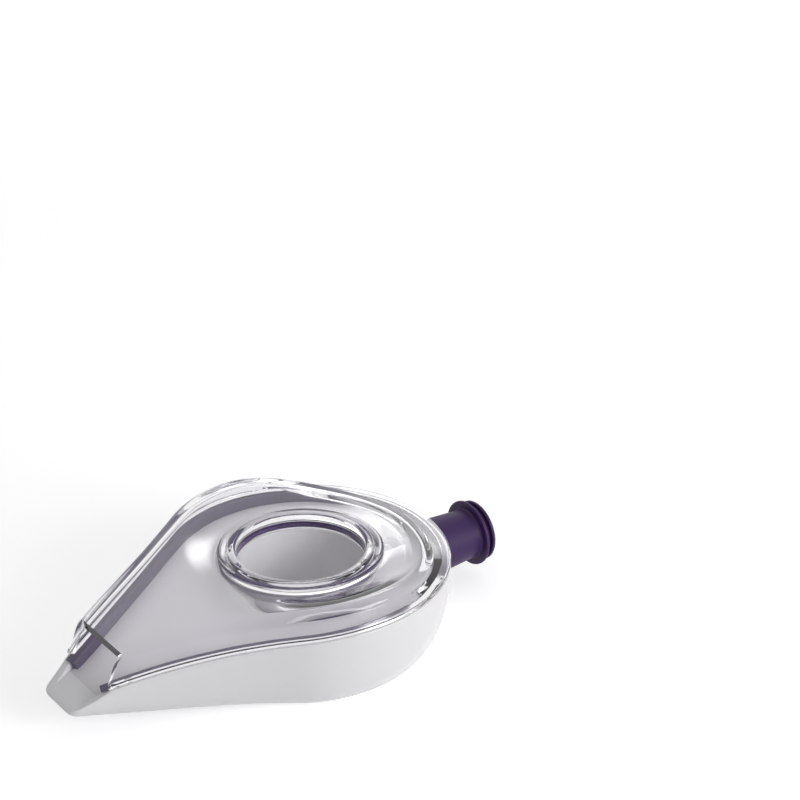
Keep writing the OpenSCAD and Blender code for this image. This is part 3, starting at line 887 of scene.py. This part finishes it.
class FILTER_OT_tray(bpy.types.Operator):
    """Makes the white tray with its seat and inlet well"""
    bl_idname = "filter.tray"
    bl_label = "Tray"
    # Rings across the floor, clearance at its front edge and chamfer round its edge.
    FLOOR, FRONT_GAP, CHAMFER = 14, 0.06, 0.2
    # The seat round the tube: width, height, and the width of level floor round it.
    SEAT_W, SEAT_H, LEVEL = 2.1, 0.3, 3
    # The well: length, half width, wall, corner, reach past the neck's end, drop under the floor.
    WELL, WELL_HALF, WELL_WALL, WELL_ROUND, WELL_PAST, WELL_DROP = 10.0, 7.0, 1.5, 1.0, 2.7, 0.1

    def execute(self, context):
        f = Form()
        b = f.base
        front = -b["tray_front"] + self.FRONT_GAP
        edge = f.loop(b["wall"] + b["gap"], front=front)
        tube_r = BORE + f.cover["tube_wall"]
        hole_r, seat_r = tube_r + TUBE_GAP, tube_r + self.SEAT_W
        circle = circle_like(edge, 1.0)
        seat_z = f.rim_h - f.floor_depth + self.SEAT_H
        rings = []
        for inset in (0.0, 0.06, self.CHAMFER):
            p = f.loop(b["wall"] + b["gap"] + inset, front=front + inset)
            rings.append(ring(p, f.floor_z(p[:, 0]) - (self.CHAMFER - inset) * 0.5))
        start = p
        for share in np.linspace(0.08, 1, self.FLOOR):
            p = mix(start, circle * (seat_r + self.SEAT_H), share)
            flat = smooth((np.linalg.norm(p, axis=1) - seat_r - self.SEAT_H) / self.LEVEL)
            rings.append(ring(p, mix(seat_z - self.SEAT_H, f.floor_z(p[:, 0]), flat)))
        rings.append(ring(circle * seat_r, seat_z))
        rings.append(ring(circle * hole_r, seat_z))
        rings.append(ring(circle * hole_r, seat_z - self.SEAT_H - b["tray_t"]))
        for share in (0.3, 0.6, 0.9):
            p = mix(circle * hole_r, edge, share)
            under = np.minimum(f.floor_z(p[:, 0]), seat_z - self.SEAT_H)
            rings.append(ring(p, under - b["tray_t"]))
        rings.append(ring(edge, f.floor_z(edge[:, 0]) - b["tray_t"]))
        obj = piece("white_tray", *joined_rings(rings), white_satin())
        self.add_well(obj, f)
        tidy(obj, 30)
        placed(obj, "tray")
        return {"FINISHED"}

    def add_well(self, obj, f):
        """Joins the inlet well under the floor and opens it."""
        white = obj.data.materials[0]
        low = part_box("tray")[0][2] / MM
        top = f.rim_h - f.floor_depth - self.WELL_DROP
        x1, y, wall = f.soft["neck_x"] + self.WELL_PAST, self.WELL_HALF, self.WELL_WALL
        x0 = x1 - self.WELL
        cut(obj, upright_block("well", (x0 - wall, -y - wall, low), (x1 + wall, y + wall, top),
                               self.WELL_ROUND + wall, white), "UNION")
        cut(obj, upright_block("hollow", (x0, -y, low + wall), (x1, y, f.rim_h),
                               self.WELL_ROUND, white))
        bore_port(obj, f, x1, -2, 5)


class FILTER_OT_cover(bpy.types.Operator):
    """Makes the clear cover with its open mouth and collar"""
    bl_idname = "filter.cover"
    bl_label = "Cover"
    # Steps along each side, points across the mouth, and steps from the edge to the collar.
    AROUND, ACROSS, INWARDS = 110, 28, 18
    # Rounding of the flange, and of the cut edges at the mouth.
    FLANGE_ROUND, CUT_ROUND = 0.15, 0.22
    # How far the top runs in under the lip, and how soon it takes up the dish's own heights.
    UNDER_LIP, SETTLE = 0.02, 3

    def level(self, f, share, inset, lift):
        """One level of the wall: a row of points from the mouth round the rear and back. The
        share is its height in the wall. Inset and lift are rules on the length along X."""
        front = -(f.cover["front"] + f.cover["front_lean"] * (1 - share))
        side, inward = f.up_to(front)
        run = np.concatenate([[0], np.cumsum(np.hypot(*np.diff(side, axis=0).T))])
        want = np.linspace(0, run[-1], self.AROUND + 1)
        p, n = (np.stack([np.interp(want, run, rows[:, k]) for k in (0, 1)], 1)
                for rows in (side, inward))
        far = p + n * np.broadcast_to(inset(p[:, 0]), len(p))[:, None]
        half = ring(far, f.rim_z(far[:, 0]) + lift(p[:, 0]))
        return np.vstack([half[::-1], half[1:] * [1, -1, 1]])

    def skin(self, f, t):
        """The outer skin, or the inner one a thickness in: wall levels, mouth and top rings."""
        c = f.cover
        flange, w, r = c["flange_h"] + c["lift"], c["flange_w"], self.FLANGE_ROUND
        levels = []
        for share, inset, lift in ((0.0, 0.0, c["lift"]), (0.1, 0.0, flange - r),
                                   (0.1, r, flange), (0.11, w - 0.1, flange),
                                   (0.12, w, flange + r)):
            levels.append(self.level(f, share, lambda x, v=w + t if t else inset: v,
                                     lambda x, v=lift: v))
        for turn in (0, 15, 30, 45, 60, 75, 90):
            back, down = corner(turn)
            share = 1 - down * c["edge_r"] / c["height"] - t / c["height"]
            levels.append(self.level(
                f, min(share, 1), lambda x, v=back: f.edge_in(x) + t + f.edge_round(x) * v,
                lambda x, v=down: f.edge_h(x) - t - f.edge_round(x) * v))
        row = levels[-1]
        y = np.linspace(row[-1, 1], row[0, 1], self.ACROSS + 2)[1:-1]
        mouth = np.column_stack([np.full(len(y), row[0, 0]), y])
        edge = np.vstack([row[:, :2], mouth])
        first = np.concatenate([row[:, 2], f.top_z(mouth) - t])
        start = first - (f.top_z(edge) - t)
        circle = circle_like(edge, BORE + c["lip_w"] - self.UNDER_LIP)
        tops = []
        for share in np.linspace(0, 1, self.INWARDS + 1)[1:]:
            p = mix(edge, circle, share)
            left = max(0, 1 - self.SETTLE * share)
            tops.append(ring(p, f.top_z(p) - t + start * left))
        return levels, ring(mouth, first[len(row):]), tops

    @staticmethod
    def collar_rings(f, way):
        """Rings from the cover's top over the collar's lip, down the tube and to the ceiling."""
        c = f.cover
        lip_r, tube_r = BORE + c["lip_w"], BORE + c["tube_wall"]
        plate = f.rim_h + c["dish_h"]
        top, foot = plate + c["lip_h"], plate - c["wall"]
        mid = mix(BORE, lip_r, 0.56)
        # Radii and heights: up the lip, over its two steps, down the bore and up the tube.
        path = [(lip_r, plate + 0.05), (lip_r - 0.05, top - 0.8), (lip_r - 0.35, top - 0.5),
                (lip_r - 0.8, top - 0.42), (mid + 0.9, top - 0.45), (mid + 0.4, top - 0.62),
                (mid, top - 0.72), (mid - 0.3, top - 0.5), (mid - 0.55, top - 0.15),
                (mid - 1.0, top), (BORE + 1.0, top), (BORE + 0.45, top - 0.1),
                (BORE + 0.12, top - 0.4), (BORE, top - 0.9), (BORE, mix(top, f.rim_h, 0.5)),
                (BORE, f.rim_h + 0.3), (BORE + 0.3, f.rim_h), (tube_r - 0.3, f.rim_h),
                (tube_r, f.rim_h + 0.3), (tube_r, foot - 1.1), (tube_r + 0.3, foot - 0.8),
                (lip_r - 1.2, foot - 0.55), (lip_r - 0.5, foot - 0.35)]
        return [ring(way * r, z) for r, z in path]

    def execute(self, context):
        f = Form()
        points, faces, borders, ends = [], [], [], []

        def add(rows):
            """Keeps a row of points and gives their numbers."""
            points.extend(rows.tolist())
            return np.arange(len(points) - len(rows), len(points))

        def strips(rows, wrap=False):
            """Makes quads between each row and the next."""
            rows = [[*row, row[0]] for row in rows] if wrap else rows
            for a, b in zip(rows, rows[1:]):
                faces.extend(zip(a, a[1:], b[1:], b))

        for levels, mouth, tops in [self.skin(f, t) for t in (0.0, f.cover["wall"])]:
            rows = [add(r) for r in levels]
            strips(rows)
            line = add(mouth)
            rings = [np.concatenate([rows[-1], line])] + [add(r) for r in tops]
            strips(rings, wrap=True)
            near_end, far_end = ([r[k] for r in rows] for k in (-1, 0))
            borders.append([*rows[0], *near_end[1:], *line, *far_end[:0:-1]])
            ends.append(rings[-1])
        strips(borders, wrap=True)
        way = circle_like(np.array([points[i][:2] for i in ends[0]]), 1.0)
        strips([ends[0], *[add(r) for r in self.collar_rings(f, way)], ends[1]], wrap=True)
        obj = piece("clear_cover", points, faces, clear_plastic(), 40)
        bevel = obj.modifiers.new("edges", "BEVEL")
        bevel.width, bevel.segments, bevel.limit_method = self.CUT_ROUND * MM, 2, "ANGLE"
        bevel.angle_limit = math.radians(50)
        placed(obj, "cover")
        return {"FINISHED"}


class FILTER_OT_rim_seal(bpy.types.Operator):
    """Makes the purple band inside the rim"""
    bl_idname = "filter.rim_seal"
    bl_label = "Rim seal"
    # Room at the rim and at the floor, and rounding of the band's corners.
    ROOM, ROUNDING = 0.05, 0.25

    def execute(self, context):
        f = Form()
        s = f.soft
        side = f.up_to(-s["seal_front"])[0]
        path = np.vstack([side[::-1], side[1:] * [1, -1]])
        rim = f.rim_z(path[:, 0])
        depth = (rim - f.floor_z(path[:, 0])) / f.floor_depth
        steps = [(i, i + 1) for i in range(len(path) - 1)]
        obj = guide("purple_rim_seal", ring(path, rim), [], steps,
                    {"rim": rim * MM, "depth": depth})
        grow(obj, seal_tree(), {
            "Band": s["band_t"] * MM, "Depth": (f.floor_depth - self.ROOM) * MM,
            "Back": (f.base["wall"] + f.base["gap"]) * MM, "Lip": s["seam_t"] * MM,
            "Lip back": s["seam_back"] * MM, "Clearance": self.ROOM * MM,
            "Rounding": self.ROUNDING * MM, "Finish": silicone("grey_purple")})
        tidy(obj, 40)
        placed(obj, "rim_seal")
        return {"FINISHED"}


class FILTER_OT_collar_seal(bpy.types.Operator):
    """Makes the purple ring at the foot of the collar"""
    bl_idname = "filter.collar_seal"
    bl_label = "Collar seal"
    # Height of the foot over the tray's floor, and the ribs' middles and half height as shares.
    FOOT, RIBS, RIB_HALF = 0.35, (0.25, 0.75), 0.23

    def execute(self, context):
        f = Form()
        s = f.soft
        inner = BORE + f.cover["tube_wall"] + TUBE_GAP
        outer = inner + s["collar_t"]
        low = f.rim_h - f.floor_depth + self.FOOT
        high = low + s["collar_h"]
        profile = [(inner, low), (outer, low)]
        for centre in self.RIBS:
            for turn in np.linspace(-90, 90, 9):
                a = math.radians(turn)
                z = low + s["collar_h"] * (centre + self.RIB_HALF * math.sin(a))
                profile.append((outer + s["rib_h"] * math.cos(a), z))
        profile += [(outer, high), (inner, high)]
        obj = piece("purple_collar_seal", *turned(profile, 160), silicone("purple"), 40)
        placed(obj, "collar_seal")
        return {"FINISHED"}


class FILTER_OT_stopper(bpy.types.Operator):
    """Makes the purple stopper with its two fins"""
    bl_idname = "filter.stopper"
    bl_label = "Stopper"
    # The screen's seat: radius and depth. The barb: length of its slope and of the whole.
    SEAT_R, SEAT_DEEP, SLOPE, BARB = 4.7, 1.2, 1.5, 2.55
    # The outer fin's distance from the free end, and the thicker shank at each fin.
    FIN_BACK, HUB_H, HUB_W, HUB_FLAT = 1.4, 0.7, 0.5, 0.2
    # The shank's taper starts this far from the base and ends this far from the inner fin.
    TAPER_FROM, TAPER_TO, TAPER_IN = 4, 1.2, 0.3
    # The vent's distance from the base, and the rounding of the corners and of the fins.
    VENT_X, ROUNDING, FIN_ROUND = 3, 0.35, 0.4

    def execute(self, context):
        f = Form()
        s = f.soft
        x0, end, face = s["neck_x"], s["stopper_end"], f.base["boss_end"]
        neck, root, shank, channel = (s[name] / 2 for name in ("neck_d", "root_d", "end_d",
                                                               "channel_d"))
        seat, barb = x0 + self.SEAT_DEEP, x0 + self.BARB
        outer_fin = end - self.FIN_BACK
        inner_fin = outer_fin - s["fin_pitch"]
        hub, reach, tight = shank + self.HUB_H, s["fin_t"] / 2 + self.HUB_W, root - self.TAPER_IN
        profile = [(channel, seat), (self.SEAT_R, seat), (self.SEAT_R, x0), (neck - 0.2, x0),
                   (neck + s["barb_h"], x0 + self.SLOPE), (neck + s["barb_h"], barb),
                   (neck, barb), (neck, face), (root - 0.5, face), (root, face + 0.5),
                   (tight, face + self.TAPER_FROM)]
        profile += [(mix(tight, shank, t),
                     mix(face + self.TAPER_FROM, inner_fin - reach - self.TAPER_TO, t))
                    for t in (0.33, 0.66, 1)]
        for fin, after in ((inner_fin, shank), (outer_fin, shank - 0.3)):
            profile += [(shank, fin - reach), (hub, fin - self.HUB_FLAT),
                        (hub, fin + self.HUB_FLAT), (after, fin + reach)]
        profile += [(shank - 0.9, end), (channel + 0.5, end), (channel, end - 0.5)]
        points, quads = turned(rounded(profile, self.ROUNDING, 3), 144)
        obj = piece("purple_stopper", along_stopper(points, 0, s["stopper_z"]), quads,
                    silicone("purple"), 50)
        points, quads = turned(rod(s["vent_d"] / 2, 0, root + 2), 32)
        points = points + [face + self.VENT_X, 0, s["stopper_z"]]
        cut(obj, piece("vent", points, quads, obj.data.materials[0]))
        grow(obj, fin_tree(), {
            "Fins": 2, "First fin": inner_fin * MM, "Pitch": s["fin_pitch"] * MM,
            "Axis height": s["stopper_z"] * MM, "Radius": s["fin_d"] / 2 * MM,
            "Taper": s["fin_taper"], "Root": (shank - 0.5) * MM, "Thickness": s["fin_t"] * MM,
            "Rounding": self.FIN_ROUND * MM, "Finish": obj.data.materials[0]})
        tidy(obj, 50)
        placed(obj, "stopper")
        return {"FINISHED"}


class FILTER_OT_screen(bpy.types.Operator):
    """Weaves the round steel filter screen"""
    bl_idname = "filter.screen"
    bl_label = "Filter screen"

    def execute(self, context):
        s = context.scene.filter_screen
        low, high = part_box("filter_screen")
        obj = guide("steel_screen", [(0, 0, 0)], [], [], {})
        grow(obj, weave_tree(), {
            "Wires": s.wires, "Pitch": s.pitch, "Wire": s.wire, "Radius": (high[2] - low[2]) / 2,
            "Frame": s.frame, "Thickness": high[0] - low[0], "Finish": steel()})
        middle = [(a + b) / 2 for a, b in zip(low, high)]
        obj.data.transform(Matrix.Translation(middle) @ Matrix.Rotation(math.pi / 2, 4, "Y"))
        tidy(obj, 40)
        placed(obj, "filter_screen")
        return {"FINISHED"}


class FILTER_OT_studio(bpy.types.Operator):
    """Makes the floor, the lamps, the room's light and the camera"""
    bl_idname = "filter.studio"
    bl_label = "Studio"
    # Half the floor's side in millimetres.
    FLOOR_HALF = 3000
    # The floor's own light grows between two distances in metres, to a far value.
    LIFT_FROM, LIFT_TO, FAR_LIFT = 0.2, 1.2, 0.8
    # Each lamp's name, the property with its strength, its side and its place in metres.
    LAMPS = (("key_lamp", "key", 0.8, (0.35, -0.95, 0.38)),
             ("glow_lamp", "glow", 0.1, (0.165, 0.19, 0.175)))
    # A lamp's face is even out to a share of its side, then fades to nothing at its edge. Its
    # middle is brighter by a factor that makes up for that.
    LAMP_EVEN, LAMP_EDGE, LAMP_MIDDLE = 0.08, 0.5, 2.5
    # The photograph's frame in pixels and the camera's sensor in millimetres.
    FRAME, SENSOR = 800.0, 36.0

    def execute(self, context):
        self.floor(context.scene.filter_studio)
        self.room(context.scene)
        self.lamps(context.scene.filter_studio)
        self.camera(context.scene)
        context.scene.view_settings.view_transform = "Standard"
        return {"FINISHED"}

    @staticmethod
    def seen_directly(t):
        """A value that is 1 for camera, mirror and see-through rays."""
        path = t.add("ShaderNodeLightPath").outputs
        either = t.math("MAXIMUM", path["Is Camera Ray"], path["Is Glossy Ray"])
        return t.math("MAXIMUM", either, path["Is Transmission Ray"])

    def floor(self, studio):
        """A wide pale floor that adds light of its own only where it is seen."""
        material = bpy.data.materials.new("floor")
        material.use_nodes = True
        half = self.FLOOR_HALF
        obj = piece("floor", [(-half, -half, 0), (half, -half, 0), (half, half, 0),
                              (-half, half, 0)], [(0, 1, 2, 3)], material)
        t = Nodes(material.node_tree)
        far = t.distance(t.add("ShaderNodeTexCoord").outputs["Object"])
        lift = t.add("ShaderNodeMapRange", {
            "Value": far, "From Min": self.LIFT_FROM, "From Max": self.LIFT_TO,
            "To Min": studio.lift, "To Max": self.FAR_LIFT})
        t.give(t.tree.nodes["Principled BSDF"], {
            "Base Color": (*studio.floor, 1), "Roughness": 0.9, "Emission Color": WHITE,
            "Emission Strength": t.math("MULTIPLY", self.seen_directly(t), lift)})

    def room(self, scene):
        """Even light from all round, with a white background."""
        scene.world = bpy.data.worlds.new("room")
        scene.world.use_nodes = True
        t = Nodes(scene.world.node_tree)
        strength = t.add("ShaderNodeMix", {0: self.seen_directly(t), 3: 1.0,
                                           2: scene.filter_studio.sky})
        t.give(t.tree.nodes["Background"], {"Color": WHITE, "Strength": strength})

    def lamps(self, studio):
        """Square lamps with soft edges, aimed at the hole."""
        for name, strength, side, place in self.LAMPS:
            lamp = bpy.data.lights.new(name, "AREA")
            lamp.energy, lamp.shape, lamp.size = getattr(studio, strength), "SQUARE", side
            lamp.use_nodes = True
            t = Nodes(lamp.node_tree)
            spot = t.add("ShaderNodeNewGeometry").outputs["Parametric"]
            fade = t.add("ShaderNodeMapRange", {
                "Value": t.distance(spot, (0.5, 0.5, 0.0)), "From Min": self.LAMP_EVEN,
                "From Max": self.LAMP_EDGE, "To Min": self.LAMP_MIDDLE, "To Max": 0.0},
                interpolation_type="SMOOTHSTEP")
            t.give(t.tree.nodes["Emission"], {"Strength": fade})
            obj = new_object(name, lamp)
            obj.visible_camera = False
            obj.location = place
            obj.rotation_mode = "QUATERNION"
            obj.rotation_quaternion = (-Vector(place)).to_track_quat("-Z", "Y")

    def camera(self, scene):
        """Places the camera so that the rim's centre falls on its pixel in the frame."""
        s = scene.filter_studio
        a, e, roll = (math.radians(v) for v in (s.azimuth, s.elevation, s.roll))
        back = Vector((math.sin(a) * math.cos(e), -math.cos(a) * math.cos(e), math.sin(e)))
        right = Vector((math.cos(a), math.sin(a), 0))
        turn = Matrix(((math.cos(roll), math.sin(roll), 0), (-math.sin(roll), math.cos(roll), 0),
                       (0, 0, 1)))
        axes = turn @ Matrix((right, back.cross(right), back))
        middle = self.FRAME / 2
        aim = Vector((s.aim_x - middle, middle - s.aim_y, -s.focal_px)).normalized()
        axes = Vector((0, 0, -1)).rotation_difference(aim).to_matrix() @ axes
        data = bpy.data.cameras.new("camera")
        data.sensor_width, data.lens = self.SENSOR, s.focal_px / self.FRAME * self.SENSOR
        scene.camera = new_object("camera", data)
        rim = Vector((0, 0, scene.filter_body.rim_h))
        place = Matrix.Translation(rim + back * s.distance)
        scene.camera.matrix_world = place @ axes.transposed().to_4x4()


class FILTER_PT_panel(bpy.types.Panel):
    """Lists the pieces and the studio"""
    bl_idname = "FILTER_PT_panel"
    bl_label = "Wine filter"
    bl_space_type = "VIEW_3D"
    bl_region_type = "UI"
    bl_category = "Wine filter"

    def draw(self, context):
        for operator in OPERATORS:
            self.layout.operator(operator.bl_idname)


GROUPS = (("filter_body", BodySizes), ("filter_base", BaseSizes), ("filter_cover", CoverSizes),
          ("filter_soft", SoftSizes), ("filter_screen", ScreenSizes),
          ("filter_studio", StudioSizes))
OPERATORS = (FILTER_OT_base, FILTER_OT_tray, FILTER_OT_cover, FILTER_OT_rim_seal,
             FILTER_OT_collar_seal, FILTER_OT_stopper, FILTER_OT_screen, FILTER_OT_studio)


def register():
    for name, group in GROUPS:
        bpy.utils.register_class(group)
        setattr(bpy.types.Scene, name, bpy.props.PointerProperty(type=group))
    for operator in OPERATORS:
        bpy.utils.register_class(operator)
    bpy.utils.register_class(FILTER_PT_panel)


def unregister():
    bpy.utils.unregister_class(FILTER_PT_panel)
    for operator in reversed(OPERATORS):
        bpy.utils.unregister_class(operator)
    for name, group in reversed(GROUPS):
        delattr(bpy.types.Scene, name)
        bpy.utils.unregister_class(group)


def main():
    register()
    for operator in OPERATORS:
        family, name = operator.bl_idname.split(".")
        getattr(getattr(bpy.ops, family), name)()


if __name__ == "__main__":
    main()
